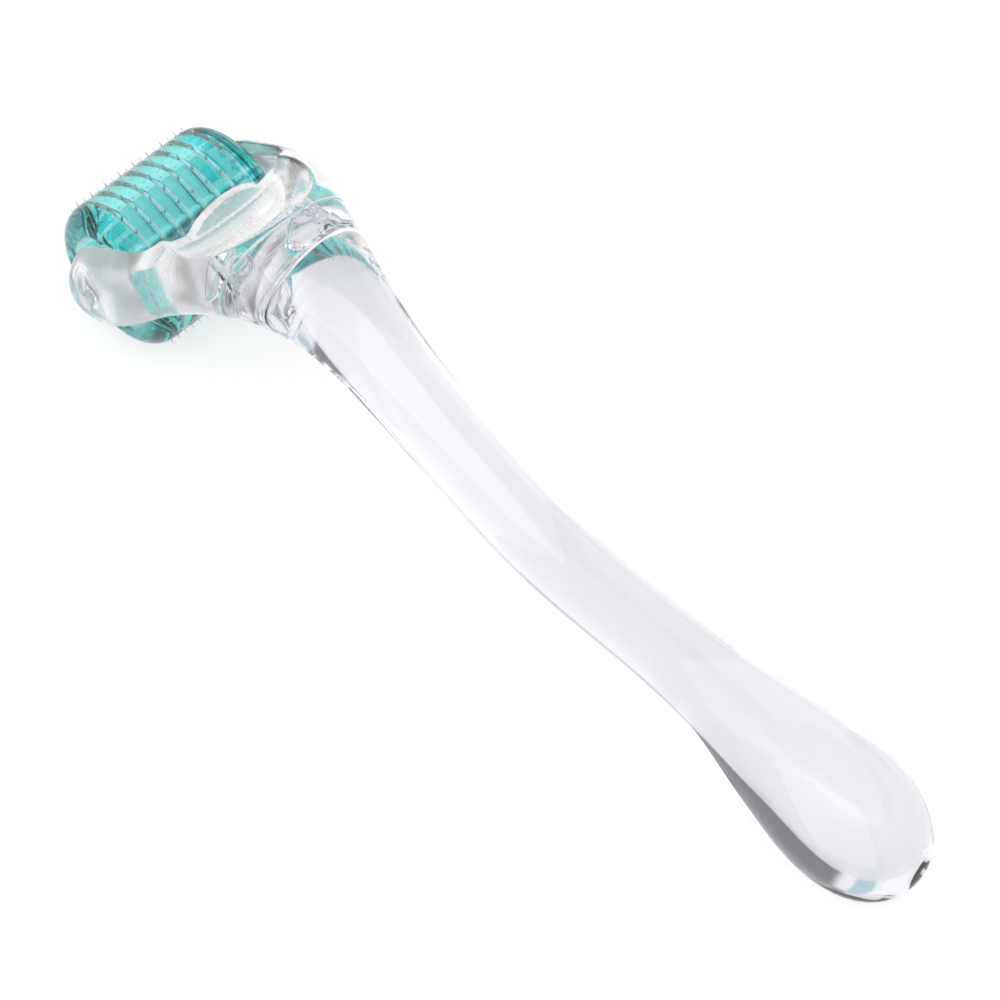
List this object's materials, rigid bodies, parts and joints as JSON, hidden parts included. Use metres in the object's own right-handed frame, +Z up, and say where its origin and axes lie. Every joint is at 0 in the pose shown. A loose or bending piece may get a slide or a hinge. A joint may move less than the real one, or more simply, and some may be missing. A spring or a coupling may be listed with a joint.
{
  "type": "derma roller",
  "caption": "Handheld derma roller: a needled, transparent teal roller turns on a steel axle between the arms of a frosted fork, on a clear curved handle with a bulb end.",
  "frame": {"origin": "on the table, under the middle of the whole object, which rests on its needle tips and on the belly of its bulb", "axes": "+X from the tail to the roller, +Y to the left along the roller's axis, +Z up"},
  "size_m": [0.1324, 0.0301, 0.0301],
  "materials": {
    "clear_grip": "polished clear",
    "frosted_head": "fine frosted, translucent",
    "clear_peg": "polished clear",
    "axle_steel": "ground",
    "roller_core_teal": "clear tinted",
    "roller_teal": "clear tinted, glossy",
    "needle_steel": "bright drawn"
  },
  "bodies": {
    "head_and_handle": {"handle": "clear_grip", "fork": "frosted_head", "locking_peg_left": "clear_peg", "locking_peg_right": "clear_peg", "axle_pin": "axle_steel"},
    "roller": {"roller_core": "roller_core_teal", "end_cap_left": "roller_teal", "end_cap_right": "roller_teal", "needle_disc_1": "roller_teal", "needle_disc_2": "roller_teal", "needle_disc_3": "roller_teal", "needle_disc_4": "roller_teal", "needle_disc_5": "roller_teal", "needle_disc_6": "roller_teal", "needle_disc_7": "roller_teal", "needle_ring_1": "needle_steel", "needle_ring_2": "needle_steel", "needle_ring_3": "needle_steel", "needle_ring_4": "needle_steel", "needle_ring_5": "needle_steel", "needle_ring_6": "needle_steel", "needle_ring_7": "needle_steel", "needle_ring_8": "needle_steel"}
  },
  "joints": [
    {"name": "roller_spin", "type": "hinge", "parent": "head_and_handle", "child": "roller", "pos_m": [0.05588, 0, 0.01035], "axis": [0, 1, 0], "continuous": true}
  ]
}
